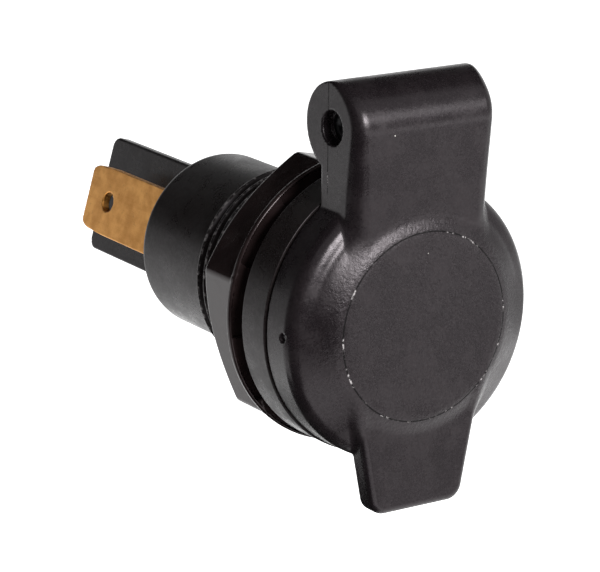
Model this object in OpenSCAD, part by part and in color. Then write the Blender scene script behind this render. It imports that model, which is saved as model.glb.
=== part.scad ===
// Panel-mount power socket for 12 mm DIN plugs, with a sprung hinged lid.
// Lengths are in millimetres. The barrel axis runs along Y, the lid faces -Y and the
// hinge is at +Z. The origin is the centre of the flange's rear face, which meets the panel.

/* [Barrel and panel thread] */
// Outer diameter of the panel thread
thread_d = 17.9; // [17.4:0.1:18.6]
// Distance from one thread crest to the next
thread_pitch = 1; // [0.8:0.1:1.5]
// How far the thread reaches behind the flange
thread_l = 12.8; // [11.8:0.1:15]
// Relief between the flange and the first thread crest
relief_l = 0.9; // [0.6:0.1:1.5]
// Outer diameter of the plain barrel behind the thread
barrel_d = 16; // [15.6:0.1:16.4]
// Length of the barrel behind the flange
barrel_l = 23.3; // [22.6:0.1:28]
// Radius of the barrel's rear edge
barrel_edge_r = 0.85; // [0.3:0.05:1]

/* [Flange] */
// Diameter of the flange
flange_d = 24.5; // [24:0.1:27]
// Thickness of the flange
flange_t = 3.5; // [3:0.1:4.5]
// Radius of the flange's edges
flange_edge_r = 0.25; // [0.1:0.05:0.5]

/* [Plug bore] */
// Diameter of the plug that the socket takes
plug_d = 12; // [11.8:0.05:12.1]
// Radial clearance round the plug
plug_gap = 0.05; // [0.03:0.01:0.1]
// Wall of the sleeve contact
sleeve_wall = 0.45; // [0.35:0.05:0.5]
// Length of the sleeve contact
sleeve_l = 15.35; // [13.8:0.05:16]
// Thickness of the lip that holds the sleeve in from the front
lip_t = 0.6; // [0.4:0.05:1]
// Chamfer at the mouth of the bore
mouth_chamfer = 0.4; // [0.2:0.05:0.5]
// Inner diameter of the sleeve contact's rear rim
sleeve_rim_d = 8.8; // [8.6:0.1:9.4]

/* [Lid] */
// How far the lid's rim stands inside the edge of the flange
lid_inset = 0.15; // [0:0.05:0.3]
// Thickness of the lid from its face to its rim
lid_t = 5.4; // [5:0.1:6]
// Gap between the closed lid and the flange
lid_gap = 0.2; // [0.1:0.05:0.4]
// Wall of the lid
lid_wall = 1.5; // [1.2:0.05:1.8]
// Radius of the lid's front corner
lid_corner_r = 1.25; // [0.8:0.05:1.8]
// Fall of the shoulder round the lid's face, in degrees
shoulder_angle = 28; // [20:1:34]
// Diameter of the flat on the lid's face
face_d = 16.4; // [16:0.1:17]
// Diameter of the fine line round the middle of the face
disc_line_d = 16.2; // [14:0.1:17]
// Width of that line
disc_line_w = 0.14; // [0.1:0.02:0.3]
// Depth of that line
disc_line_depth = 0.1; // [0.05:0.01:0.2]
// Middle diameter of the sealing ring inside the lid
seal_d = 15.6; // [15:0.1:17]
// Width of the sealing ring
seal_w = 1.2; // [0.8:0.1:1.4]
// How far the sealing ring stands off the flange
seal_gap = 0.25; // [0.1:0.05:0.4]

/* [Finger tab] */
// How far the finger tab reaches below the lid
tab_l = 3.95; // [3:0.05:6]
// Width of the finger tab where it leaves the lid
tab_root_w = 10.45; // [10:0.05:12]
// Width of the finger tab at its end
tab_tip_w = 8.9; // [7:0.1:10]
// Thickness of the finger tab
tab_t = 2; // [1.6:0.1:2.4]
// Radius of the finger tab's corners
tab_corner_r = 1.5; // [0.8:0.1:2.5]
// How far the lid's round face stands in front of the finger tab
face_rise = 0.45; // [0.1:0.05:0.8]

/* [Hinge] */
// Height of the hinge axis above the edge of the flange
hinge_rise = 4.65; // [4.5:0.05:5.5]
// Outer radius of the lid's knuckle round the hinge axis
hood_r = 3.85; // [3.6:0.05:4.2]
// Wall of the knuckle between the two ears
hood_wall = 1.2; // [1:0.05:1.4]
// Where the knuckle's wall ends behind the top, in degrees above the horizontal
hood_lip_angle = 68; // [60:1:80]
// Width of the lid's arm over both ears
arm_w = 13.9; // [13.6:0.1:15]
// Lean of the arm's front, which falls back from the knuckle toward the lid's face, in degrees
arm_lean = 3.4; // [1:0.1:5]
// Radius along the arm's front edges
arm_edge_r = 1.2; // [0.6:0.1:1.8]
// Thickness of each ear
ear_w = 2.3; // [2:0.1:2.5]
// Width of each lug on the flange
lug_w = 2.15; // [1.9:0.05:2.4]
// Side gap between a lug and its ear
lug_gap = 0.2; // [0.1:0.05:0.3]
// Gap between a lug's round head and the knuckle's wall
lug_head_gap = 0.35; // [0.25:0.05:0.5]
// Diameter of the hinge pin
pin_d = 2.4; // [2:0.1:2.6]
// Radial clearance of the pin in the lugs
pin_gap = 0.05; // [0.03:0.01:0.1]
// Radial clearance of the pin in the ears, which grip it
pin_grip_gap = 0.01; // [0:0.01:0.03]
// Diameter of the hole that shows in each ear, outside the pin's end
pin_hole_d = 2.9; // [2.7:0.1:3.4]
// Depth of that hole
pin_hole_depth = 0.95; // [0.5:0.05:1.3]

/* [Lid spring] */
// Wire of the lid spring
wire_d = 0.45; // [0.35:0.05:0.5]
// Gap between the spring's turns and the pin
coil_gap = 0.12; // [0.08:0.02:0.2]
// Whole turns in the lid spring
coil_turns = 6; // [4:1:7]
// Distance between the spring's turns
coil_pitch = 0.6; // [0.55:0.01:0.64]

/* [Panel nut] */
// Width across the flats of the panel nut
nut_af = 22; // [21.6:0.1:24]
// Length of the panel nut
nut_l = 5.9; // [4:0.1:7]
// Where the panel nut stands behind the flange
nut_stand = 1.2; // [0.2:0.1:5]
// Diameter of the nut's round collar and of its trimmed corners
nut_collar_d = 25.2; // [25:0.1:28]
// Thickness of the nut's collar
nut_collar_t = 0.6; // [0.4:0.1:1.5]
// Diameter of the nut's rear face inside its bevel
nut_face_d = 21.8; // [20.6:0.1:22.4]
// Angle of the bevel from the nut's rear face
nut_bevel_angle = 40; // [20:1:45]
// Number of saw teeth on the nut's front face, which grip the panel
nut_teeth = 12; // [8:1:16]
// Depth of those teeth
nut_tooth_depth = 0.4; // [0.2:0.05:0.5]
// Inner diameter of the ring of teeth
nut_tooth_d = 20.4; // [20:0.1:22]
// Turn of the teeth from the middle of a flat
nut_tooth_turn = 11; // [0:1:30]
// Radial clearance between the nut's bore and the thread
nut_gap = 0.05; // [0.03:0.01:0.1]
// Chamfer at both ends of the nut's bore
nut_bore_chamfer = 0.5; // [0.2:0.1:0.8]
// Turn of the nut about the barrel
nut_turn = 14.8; // [0:0.1:60]

/* [Contact carrier] */
// Diameter of the rear bore that takes the carrier
carrier_bore_d = 13.8; // [13.6:0.1:14]
// Radial clearance of the carrier in its bore
carrier_gap = 0.05; // [0.03:0.01:0.1]
// How deep the carrier's rear face lies in the barrel
carrier_recess = 0.7; // [0.3:0.1:1.5]
// Gap between the sleeve contact and the carrier
sleeve_end_gap = 0.2; // [0.1:0.05:0.3]
// Diameter of the carrier's nose, which stands in the sleeve contact's rear rim
nose_d = 8.2; // [7.6:0.1:8.4]
// Width of the plate between the two terminals
plate_w = 10.9; // [9:0.1:11.5]
// Thickness of the plate
plate_t = 1.2; // [0.9:0.1:2]
// How far the plate reaches behind the barrel
plate_l = 20; // [15:0.1:24]
// Radius of the plate's corners
plate_corner_r = 1; // [0.4:0.1:2]

/* [Terminals] */
// Width of each flat terminal
blade_w = 6.3; // [4.8:0.1:6.8]
// Thickness of each flat terminal
blade_t = 0.8; // [0.6:0.1:0.9]
// Distance of a terminal's outer face from the barrel axis
blade_out = 4.3; // [4.1:0.05:4.5]
// How far the terminals reach behind the barrel
blade_l = 16.4; // [12:0.1:20]
// Diameter of the hole in each terminal
blade_hole_d = 1.8; // [1.4:0.1:2]
// Distance of that hole from the terminal's end
blade_hole_in = 3.7; // [3:0.1:5]
// Length of the cut corners at a terminal's end
blade_tip_l = 2; // [1.2:0.1:2.6]
// Width of those cut corners
blade_tip_w = 0.65; // [0.5:0.05:1.4]
// Turn of the terminals and the plate about the barrel axis
terminal_turn = 15.9; // [0:0.1:90]

/* [Centre contact] */
// Bore of the split centre contact
contact_bore_d = 4; // [3.6:0.1:4.2]
// Wall of the centre contact
contact_wall = 0.6; // [0.4:0.05:0.65]
// Gap round the centre contact, so that it can spring open
contact_gap = 0.2; // [0.15:0.05:0.3]
// Length of the centre contact's tube
contact_l = 5.7; // [5:0.1:6.5]
// How deep the centre contact's mouth lies in the carrier
contact_recess = 0.3; // [0.1:0.1:0.8]
// Length of the contact's slots
contact_slot_l = 4.4; // [3:0.1:4.8]
// Width of the contact's slots
contact_slot_w = 0.5; // [0.3:0.1:0.8]
// Diameter of the riveted tail that holds the positive terminal
tail_d = 2.4; // [1.8:0.1:2.6]
// Diameter of the tail's riveted head
tail_head_d = 3.8; // [3.4:0.1:4.4]
// Thickness of the tail's riveted head
tail_head_t = 0.6; // [0.4:0.1:0.8]

/* [Hidden] */
$fn = 96;

// How far a cut runs past the face that it opens
over = 1;
// How deep a joined form is sunk in its neighbour
sink = 0.05;
// Clearance between a moulded pocket and the metal that it holds
insert_gap = 0.02;

// Thread form: its depth and the flats on its crests and roots, as shares of the pitch
thread_depth = 0.6 * thread_pitch;
crest_flat = thread_pitch / 8;
root_flat = thread_pitch / 4;
thread_root_r = thread_d / 2 - thread_depth;

// Stations along the barrel axis
flange_front = -flange_t;
sleeve_front = flange_front + lip_t;
sleeve_rear = sleeve_front + sleeve_l;
carrier_seat = sleeve_rear + sleeve_end_gap;
carrier_rear = barrel_l - carrier_recess;
lid_d = flange_d - 2 * lid_inset;
lid_rear = flange_front - lid_gap;
lid_front = lid_rear - lid_t;
nose_front = sleeve_rear - sleeve_wall;
contact_front = nose_front + contact_recess;
contact_base = contact_front + contact_l;
blade_end = barrel_l + blade_l;

// The most that the barrel's rear edge takes off the wall, as a share of the wall
edge_share = 0.8;

// The cut corner of a terminal bows outward: its middle, as shares of the corner's width and length
tip_bow = [0.3, 0.28];
// How much wider the positive terminal's foot is than the riveted head on it
foot_margin = 0.6;

// The plain edge outside the nut's teeth, and the share of the ring's inner edge that they take
tooth_edge = 0.25;
tooth_share = 0.97;

// Radii of the plug bore
sleeve_r_in = plug_d / 2 + plug_gap;
sleeve_r_out = sleeve_r_in + sleeve_wall;
seat_gap = 0.05;
lip_r = sleeve_r_in + seat_gap;
carrier_r = carrier_bore_d / 2 - carrier_gap;

// The hinge axis lies along X at this Y and Z
hinge_y = lid_front + hood_r;
hinge_z = flange_d / 2 + hinge_rise;
hood_r_in = hood_r - hood_wall;
ear_in = arm_w / 2 - ear_w;
lug_out = ear_in - lug_gap;
lug_in = lug_out - lug_w;
lug_head_r = hood_r_in - lug_head_gap;
pin_end = arm_w / 2 - pin_hole_depth;

// The lug's stem leaves its round head at these angles
stem_front_angle = 230;
stem_rear_angle = 310;

// Lid spring
coil_r = (pin_d + wire_d) / 2 + coil_gap;
coil_start_angle = 4;
coil_end_angle = 106;
wire_sides = 8;
steps_per_turn = 20;
spring_seat_gap = 0.05;

// The outline of a round corner is cut with this: the waste outside a corner at the
// origin whose solid lies toward -X and -Y
module corner_waste(r) {
    difference() {
        translate([-r, -r]) square(r + over);
        translate([-r, -r]) circle(r);
    }
}

// Turns a profile, drawn as radius against Y, about the barrel axis
module about_barrel() {
    rotate([-90, 0, 0]) rotate_extrude() children();
}

// Extrudes an outline, drawn as Y against Z, along X from x0 to x1
module along_x(x0, x1) {
    translate([x0, 0, 0]) rotate([90, 0, 90]) linear_extrude(x1 - x0) children();
}

// Extrudes an outline, drawn as X against Y, upward from z0 to z1
module along_z(z0, z1) {
    translate([0, 0, z0]) linear_extrude(z1 - z0) children();
}

// Extrudes an outline, drawn across a terminal against Y, through its thickness from n0 to n1
module across_terminals(n0, n1) {
    rotate([0, terminal_turn, 0]) translate([n0, 0, 0]) rotate([0, 90, 0])
        linear_extrude(n1 - n0) children();
}

// A bar of the given radius along the hinge axis
module hinge_rod(r, x0, x1) {
    translate([x0, hinge_y, hinge_z]) rotate([0, 90, 0]) cylinder(r = r, h = x1 - x0);
}

// Socket body: flange, thread, barrel and two hinge lugs in one moulding

function thread_ring(y) = [
    [thread_root_r, y],
    [thread_d / 2, y + (thread_pitch - root_flat - crest_flat) / 2],
    [thread_d / 2, y + (thread_pitch - root_flat + crest_flat) / 2],
    [thread_root_r, y + thread_pitch - root_flat]
];

thread_turns = floor((thread_l - relief_l) / thread_pitch);

module thread_profile() {
    crests = [for (i = [thread_turns : -1 : 1], p = thread_ring(thread_l - i * thread_pitch)) p];
    polygon(concat([[lip_r, -sink], [thread_root_r, -sink]], crests, [[lip_r, thread_l - root_flat]]));
}

module body_profile() {
    edge_r = min(barrel_edge_r, edge_share * (barrel_d - carrier_bore_d) / 2);
    difference() {
        union() {
            translate([0, flange_front]) square([flange_d / 2, flange_t]);
            translate([0, -sink]) square([barrel_d / 2, barrel_l + sink]);
            thread_profile();
        }
        translate([flange_d / 2, 0]) corner_waste(flange_edge_r);
        translate([flange_d / 2, flange_front]) mirror([0, 1]) corner_waste(flange_edge_r);
        translate([barrel_d / 2, barrel_l]) corner_waste(edge_r);
        body_bore_profile();
    }
}

module body_bore_profile() {
    translate([-over, flange_front - over]) square([lip_r + over, lip_t + 2 * over]);
    translate([-over, sleeve_front]) square([sleeve_r_out + seat_gap + over, barrel_l]);
    translate([-over, carrier_seat]) square([carrier_bore_d / 2 + over, barrel_l]);
    polygon([[0, flange_front - over], [lip_r + mouth_chamfer + over, flange_front - over],
             [lip_r, flange_front + mouth_chamfer], [0, flange_front + mouth_chamfer]]);
}

module lug_outline() {
    head = [hinge_y, hinge_z];
    reach = lug_head_r - sink;
    front_foot = [flange_front + sink, flange_d / 2 + sink];
    rear_foot = [-flange_t / 2, flange_d / 2 - sink];
    root_z = flange_d / 2 - lug_in;
    difference() {
        union() {
            translate(head) circle(lug_head_r);
            polygon([head + reach * [cos(stem_front_angle), sin(stem_front_angle)],
                     front_foot, [front_foot[0], root_z], [rear_foot[0] + sink, root_z], rear_foot,
                     head + reach * [cos(stem_rear_angle), sin(stem_rear_angle)], head]);
        }
        translate(head) circle(pin_d / 2 + pin_gap);
    }
}

module socket_body() {
    color([0.16, 0.16, 0.17]) {
        about_barrel() body_profile();
        for (side = [0, 1]) mirror([side, 0, 0]) along_x(lug_in, lug_out) lug_outline();
    }
}

// Lid: round cap, arm with two ears, knuckle hood and finger tab in one moulding

// Centre of the round corner between the lid's rim and its sloping shoulder
corner_x = lid_d / 2 - lid_corner_r;
corner_y = lid_front + (lid_corner_r + (corner_x - face_d / 2) * sin(shoulder_angle)) / cos(shoulder_angle);

module cap_outer_profile() {
    translate([corner_x, corner_y]) circle(lid_corner_r);
    polygon([[0, lid_rear], [lid_d / 2, lid_rear], [lid_d / 2, corner_y],
             [corner_x + lid_corner_r * sin(shoulder_angle), corner_y - lid_corner_r * cos(shoulder_angle)],
             [face_d / 2, lid_front], [0, lid_front]]);
}

module cap_hollow_profile() {
    inner_r = lid_d / 2 - lid_wall;
    side_y = corner_y + (inner_r - corner_x) - sink;
    floor_y = lid_front + lid_wall;
    difference() {
        polygon([[0, lid_rear + over], [inner_r, lid_rear + over], [inner_r, side_y],
                 [face_d / 2 - lid_wall / 2, floor_y], [0, floor_y]]);
        translate([(seal_d - seal_w) / 2, lid_front])
            square([seal_w, flange_front - seal_gap - lid_front]);
    }
}

module disc_line_profile() {
    translate([(disc_line_d - disc_line_w) / 2, lid_front - over])
        square([disc_line_w, over + disc_line_depth]);
}

// The arm's section, with its two front edges rounded
module arm_section(depth) {
    difference() {
        translate([-arm_w / 2, lid_front]) square([arm_w, depth]);
        for (side = [0, 1]) mirror([side, 0])
            translate([arm_w / 2, lid_front]) mirror([0, 1]) corner_waste(arm_edge_r);
    }
}

// The same rounded section as radius against X, for the turn over the top of the knuckle
module hood_section() {
    difference() {
        translate([0, -arm_w / 2]) square([hood_r, arm_w]);
        for (side = [0, 1]) mirror([0, side])
            translate([hood_r, arm_w / 2]) corner_waste(arm_edge_r);
    }
}

// Turns a section, drawn as radius against X, about the hinge axis from angle a0 to a1
module about_hinge(a0, a1) {
    translate([0, hinge_y, hinge_z]) rotate([a0, 0, 0]) rotate([90, 0, 90])
        rotate_extrude(angle = a1 - a0) children();
}

module arm_outer() {
    // The arm's edges run down over the shoulder and end inside the cap
    arm_root_z = sqrt(pow(face_d / 2, 2) - pow(arm_w / 2, 2));
    lean_depth = (hinge_z - arm_root_z) * tan(arm_lean);
    rear_depth = lid_rear - lid_front - lean_depth - arm_edge_r;
    hinge = [0, hinge_y, hinge_z];
    translate(hinge) rotate([arm_lean, 0, 0]) translate(-hinge)
        along_z(arm_root_z, hinge_z) arm_section(lid_rear - lid_front - lean_depth);
    along_z(arm_root_z, hinge_z) translate([-arm_w / 2, lid_rear - rear_depth]) square([arm_w, rear_depth]);
    about_hinge(90, 180 + arm_lean) hood_section();
    about_hinge(-90, 90) translate([0, -arm_w / 2]) square([hood_r, arm_w]);
}

// The space between the ears, open to the rear, where the lugs and the spring sit
module knuckle_hollow() {
    reach = 2 * hood_r;
    lip_ray = reach * [cos(hood_lip_angle), sin(hood_lip_angle)];
    along_x(-ear_in, ear_in) translate([hinge_y, hinge_z]) {
        circle(hood_r_in);
        polygon([[0, 0], [-hood_r_in, 0], [-hood_r_in, lid_d / 2 - hinge_z],
                 [reach, lid_d / 2 - hinge_z], [reach, lip_ray[1]], lip_ray]);
    }
}

module pin_holes() {
    hinge_rod(pin_d / 2 + pin_grip_gap, -arm_w, arm_w);
    for (side = [0, 1]) mirror([side, 0, 0]) hinge_rod(pin_hole_d / 2, pin_end, arm_w);
}

module tab_outline() {
    end_z = -lid_d / 2 - tab_l;
    flare = (tab_root_w - tab_tip_w) / 2 / tab_l;
    lean = atan(flare);
    // The sides fade out on the lid's shoulder, and end inside the cap just above that height
    shoulder_r = face_d / 2 + face_rise / tan(shoulder_angle);
    middle_half = tab_tip_w / 2 - flare * end_z;
    spread = 1 + flare * flare;
    fade_z = (-middle_half * flare - sqrt(spread * pow(shoulder_r, 2) - pow(middle_half, 2))) / spread;
    top_z = fade_z + sink;
    // Centre of the round corner between the sloping side and the end
    corner_z = end_z + tab_corner_r;
    side_at_corner = tab_tip_w / 2 + flare * tab_corner_r;
    centre_x = side_at_corner - tab_corner_r / cos(lean);
    top_x = tab_tip_w / 2 + flare * (top_z - end_z);
    for (side = [0, 1]) mirror([side, 0]) {
        translate([centre_x, corner_z]) circle(tab_corner_r);
        polygon([[-sink, top_z], [top_x, top_z],
                 [centre_x + tab_corner_r * cos(lean), corner_z - tab_corner_r * sin(lean)],
                 [centre_x, end_z], [-sink, end_z]]);
    }
}

module tab() {
    translate([0, lid_front + face_rise + tab_t, 0]) rotate([90, 0, 0])
        linear_extrude(tab_t) tab_outline();
}

module lid() {
    color([0.2, 0.2, 0.21]) difference() {
        union() {
            about_barrel() cap_outer_profile();
            arm_outer();
            tab();
        }
        about_barrel() cap_hollow_profile();
        about_barrel() disc_line_profile();
        knuckle_hollow();
        pin_holes();
    }
}

module hinge_pin() {
    color([0.6, 0.6, 0.62]) hinge_rod(pin_d / 2, -pin_end, pin_end);
}

// Lid spring: a torsion spring with one leg on the flange and one under the knuckle's wall

coil_sweep = 360 * coil_turns + coil_end_angle - coil_start_angle;
coil_length = coil_pitch * coil_sweep / 360;

function coil_point(a) = [
    -coil_length / 2 + coil_pitch * (a - coil_start_angle) / 360,
    hinge_y + coil_r * cos(a),
    hinge_z + coil_r * sin(a)
];
function coil_tangent(a) = [0, -sin(a), cos(a)];

// The rear leg drops past the lugs' heads, then bends back and stands on the flange. The
// front leg ends under the knuckle's wall.
rear_leg_x = -coil_length / 2;
rear_foot = [rear_leg_x, -flange_t / 2,
             sqrt(pow(flange_d / 2, 2) - pow(rear_leg_x, 2)) + wire_d / 2 + spring_seat_gap];
rear_drop = hood_r_in + wire_d;
front_leg_l = sqrt(pow(hood_r_in - wire_d, 2) - pow(coil_r, 2));

function spring_path() = concat(
    [rear_foot, coil_point(coil_start_angle) - rear_drop * coil_tangent(coil_start_angle)],
    [for (i = [0 : coil_sweep * steps_per_turn / 360])
        coil_point(coil_start_angle + i * 360 / steps_per_turn)],
    [coil_point(coil_start_angle + coil_sweep)
        + front_leg_l * coil_tangent(coil_start_angle + coil_sweep)]
);

function along(p, i) =
    let (a = p[max(i - 1, 0)], b = p[min(i + 1, len(p) - 1)]) (b - a) / norm(b - a);

function wire_ring(p, i) =
    let (t = along(p, i), u = cross(t, [1, 0, 0]) / norm(cross(t, [1, 0, 0])), v = cross(t, u))
    [for (k = [0 : wire_sides - 1])
        p[i] + wire_d / 2 * (cos(360 * k / wire_sides) * u + sin(360 * k / wire_sides) * v)];

module wire(p) {
    last = (len(p) - 1) * wire_sides;
    points = [for (i = [0 : len(p) - 1], q = wire_ring(p, i)) q];
    sides = [for (i = [0 : len(p) - 2], k = [0 : wire_sides - 1])
        let (a = i * wire_sides + k, b = i * wire_sides + (k + 1) % wire_sides)
        [a, a + wire_sides, b + wire_sides, b]];
    first_end = [for (k = [0 : wire_sides - 1]) k];
    last_end = [for (k = [wire_sides - 1 : -1 : 0]) last + k];
    polyhedron(points, concat(sides, [first_end, last_end]), convexity = 6);
}

module lid_spring() {
    color([0.55, 0.55, 0.57]) wire(spring_path());
}

// Panel nut: a hexagon with a round collar toward the panel and a bevel at the rear

module nut_turned_profile() {
    bevel_y = (nut_collar_d - nut_face_d) / 2 * tan(nut_bevel_angle);
    bore_r = thread_d / 2 + nut_gap;
    difference() {
        polygon([[0, 0], [nut_collar_d / 2, 0], [nut_collar_d / 2, nut_l - bevel_y],
                 [nut_face_d / 2, nut_l], [0, nut_l]]);
        nut_bore_profile(bore_r);
    }
}

module nut_bore_profile(bore_r) {
    wide = bore_r + nut_bore_chamfer;
    polygon([[-over, -over], [wide + over, -over], [bore_r, nut_bore_chamfer],
             [bore_r, nut_l - nut_bore_chamfer], [wide + over, nut_l + over], [-over, nut_l + over]]);
}

// The space in front of one tooth, at the top of the nut: a flat ramp from its crest to its root
module tooth_cut() {
    inner_r = nut_tooth_d / 2;
    outer_r = nut_collar_d / 2 - tooth_edge;
    half = tooth_share * inner_r * sin(180 / nut_teeth);
    intersection() {
        along_z(inner_r - over, outer_r + over)
            polygon([[half, -over], [half, -sink], [-half, nut_tooth_depth], [-half, -over]]);
        about_barrel() translate([inner_r, -2 * over]) square([outer_r - inner_r, 4 * over]);
    }
}

module mounting_nut() {
    color([0.1, 0.1, 0.11]) translate([0, nut_stand, 0]) {
        difference() {
            intersection() {
                about_barrel() nut_turned_profile();
                union() {
                    rotate([-90, 0, 0]) cylinder(r = nut_collar_d, h = nut_collar_t);
                    rotate([0, 30 - nut_turn, 0]) rotate([-90, 0, 0])
                        cylinder(d = nut_af / cos(30), h = nut_l + over, $fn = 6);
                }
            }
            for (i = [1 : nut_teeth])
                rotate([0, 90 - nut_turn - nut_tooth_turn - 360 * i / nut_teeth, 0]) tooth_cut();
        }
    }
}

// Contact carrier: an insulator moulded round both terminals, with the plate between them

module plate_outline() {
    end = barrel_l + plate_l;
    difference() {
        translate([-plate_w / 2, carrier_rear - sink]) square([plate_w, end - carrier_rear + sink]);
        for (side = [0, 1]) mirror([side, 0])
            translate([plate_w / 2, end]) corner_waste(plate_corner_r);
    }
}

module carrier_profile() {
    translate([0, carrier_seat]) square([carrier_r, carrier_rear - carrier_seat]);
    translate([0, nose_front]) square([nose_d / 2, carrier_seat - nose_front + sink]);
}

module contact_carrier() {
    contact_r = contact_bore_d / 2 + contact_wall;
    color([0.12, 0.12, 0.13]) difference() {
        union() {
            about_barrel() carrier_profile();
            across_terminals(-plate_t / 2, plate_t / 2) plate_outline();
        }
        translate([0, nose_front - over, 0]) rotate([-90, 0, 0])
            cylinder(r = contact_r + contact_gap, h = contact_base - nose_front + over);
        negative_form(insert_gap);
        positive_form(insert_gap);
        tail_form(insert_gap);
    }
}

// Sleeve contact: the tube that grips the plug, with its rear rim turned inward

module sleeve_profile() {
    difference() {
        translate([sleeve_rim_d / 2, sleeve_front])
            square([sleeve_r_out - sleeve_rim_d / 2, sleeve_l]);
        translate([0, sleeve_front - over])
            square([sleeve_r_in, sleeve_l + over - sleeve_wall]);
    }
}

module sleeve_contact() {
    color([0.75, 0.62, 0.35]) about_barrel() sleeve_profile();
}

// Terminals: flat blades that run through the carrier, each bent to a foot

module blade_outline(front, grow) {
    half = blade_w / 2 + grow;
    bow_x = half - tip_bow[0] * blade_tip_w;
    bow_y = blade_end - tip_bow[1] * blade_tip_l;
    difference() {
        polygon([[-half, front], [half, front], [half, blade_end - blade_tip_l], [bow_x, bow_y],
                 [half - blade_tip_w, blade_end], [-half + blade_tip_w, blade_end],
                 [-bow_x, bow_y], [-half, blade_end - blade_tip_l]]);
        translate([0, blade_end - blade_hole_in]) circle(d = blade_hole_d);
    }
}

// The negative foot turns outward and lies on the sleeve contact's rear rim
module negative_form(grow = 0) {
    foot_r = sleeve_r_out + grow;
    across_terminals(-blade_out - grow, -blade_out + blade_t + grow) blade_outline(sleeve_rear, grow);
    intersection() {
        translate([0, sleeve_rear, 0]) rotate([-90, 0, 0]) cylinder(r = foot_r, h = blade_t + grow);
        rotate([0, terminal_turn, 0])
            translate([-foot_r, sleeve_rear, -blade_w / 2 - grow])
                cube([foot_r - blade_out + blade_t + grow, blade_t + grow, blade_w + 2 * grow]);
    }
}

// The positive foot turns inward and lies on the centre contact's base
module positive_form(grow = 0) {
    foot_w = tail_head_d + foot_margin;
    front = contact_base - grow;
    across_terminals(blade_out - blade_t - grow, blade_out + grow) blade_outline(front, grow);
    rotate([0, terminal_turn, 0]) {
        translate([0, front, -foot_w / 2 - grow])
            cube([blade_out - blade_t / 2, blade_t + 2 * grow, foot_w + 2 * grow]);
        translate([0, front, 0]) rotate([-90, 0, 0])
            cylinder(r = foot_w / 2 + grow, h = blade_t + 2 * grow);
    }
}

module negative_blade() {
    color([0.72, 0.53, 0.26]) negative_form();
}

module positive_blade() {
    color([0.72, 0.53, 0.26]) difference() {
        positive_form();
        translate([0, contact_base - over, 0]) rotate([-90, 0, 0])
            cylinder(r = tail_d / 2 + insert_gap, h = blade_t + 2 * over);
    }
}

// Centre contact: a split tube whose tail is riveted over the positive foot

module tail_form(grow = 0) {
    translate([0, contact_base - sink, 0]) rotate([-90, 0, 0])
        cylinder(r = tail_d / 2 + grow, h = blade_t + 2 * sink);
    translate([0, contact_base + blade_t, 0]) rotate([-90, 0, 0])
        cylinder(r = tail_head_d / 2 + grow, h = tail_head_t + grow);
}

module centre_contact() {
    bore_r = contact_bore_d / 2;
    slot_reach = contact_bore_d + 2 * contact_wall + over;
    color([0.75, 0.62, 0.35]) {
        difference() {
            translate([0, contact_front, 0]) rotate([-90, 0, 0])
                cylinder(r = bore_r + contact_wall, h = contact_l);
            translate([0, contact_front - over, 0]) rotate([-90, 0, 0])
                cylinder(r = bore_r, h = contact_l + over - contact_wall);
            for (a = [45, 135]) rotate([0, a, 0])
                translate([-slot_reach / 2, contact_front - over, -contact_slot_w / 2])
                    cube([slot_reach, contact_slot_l + over, contact_slot_w]);
        }
        tail_form();
    }
}

socket_body();
lid();
hinge_pin();
lid_spring();
mounting_nut();
contact_carrier();
sleeve_contact();
negative_blade();
positive_blade();
centre_contact();
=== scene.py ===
# Dressed scene of a panel-mount power socket with a hinged lid.
# The frame is in metres. Forms are worked out in millimetres and scaled once, by MM.
import math

import bpy
import numpy as np
from mathutils import Matrix, Vector


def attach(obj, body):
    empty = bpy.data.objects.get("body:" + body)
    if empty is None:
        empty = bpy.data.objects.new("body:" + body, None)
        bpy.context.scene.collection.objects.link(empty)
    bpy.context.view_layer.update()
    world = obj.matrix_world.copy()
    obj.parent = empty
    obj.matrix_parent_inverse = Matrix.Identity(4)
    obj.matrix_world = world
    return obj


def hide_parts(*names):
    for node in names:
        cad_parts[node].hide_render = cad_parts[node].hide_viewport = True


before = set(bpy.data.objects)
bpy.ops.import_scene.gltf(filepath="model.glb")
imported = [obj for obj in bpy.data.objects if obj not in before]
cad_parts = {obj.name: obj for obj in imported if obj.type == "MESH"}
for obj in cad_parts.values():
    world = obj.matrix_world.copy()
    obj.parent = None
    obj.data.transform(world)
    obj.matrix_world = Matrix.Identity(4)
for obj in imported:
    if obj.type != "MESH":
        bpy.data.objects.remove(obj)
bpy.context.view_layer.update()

MM = 0.001
scene = bpy.context.scene


# Camera, at the photograph's viewing angle

CAMERA_PLACE = (-145.14, -209.37, 74.75)
CAMERA_FORWARD = (0.5307, 0.8009, -0.2773)
CAMERA_RIGHT = (0.8352, -0.5499, 0.0101)
CAMERA_LENS = 187.9
SENSOR_WIDTH = 36.0


def make_camera():
    """A camera that looks forward, with its right side as given; up follows from the two."""
    data = bpy.data.cameras.new("camera")
    data.sensor_width = SENSOR_WIDTH
    data.lens = CAMERA_LENS
    data.clip_start = 0.01
    data.clip_end = 10.0
    camera = bpy.data.objects.new("camera", data)
    forward = Vector(CAMERA_FORWARD).normalized()
    up = Vector(CAMERA_RIGHT).cross(forward).normalized()
    right = forward.cross(up).normalized()
    turn = Matrix((right, up, -forward)).transposed()
    camera.matrix_world = Matrix.Translation(Vector(CAMERA_PLACE) * MM) @ turn.to_4x4()
    scene.collection.objects.link(camera)
    scene.camera = camera


make_camera()


# Signed distances: negative inside a form, positive outside, in millimetres

def meet(a, b, r=0.0):
    """What two forms share, with a rounded edge between them."""
    return np.minimum(np.maximum(a, b), -r) + np.hypot(np.maximum(r + a, 0), np.maximum(r + b, 0))


def join(a, b, r=0.0):
    """Two forms together, with a rounded valley between them."""
    return -meet(-a, -b, r)


def cut(a, b, r=0.0):
    """The first form without the second."""
    return meet(a, -b, r)


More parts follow.
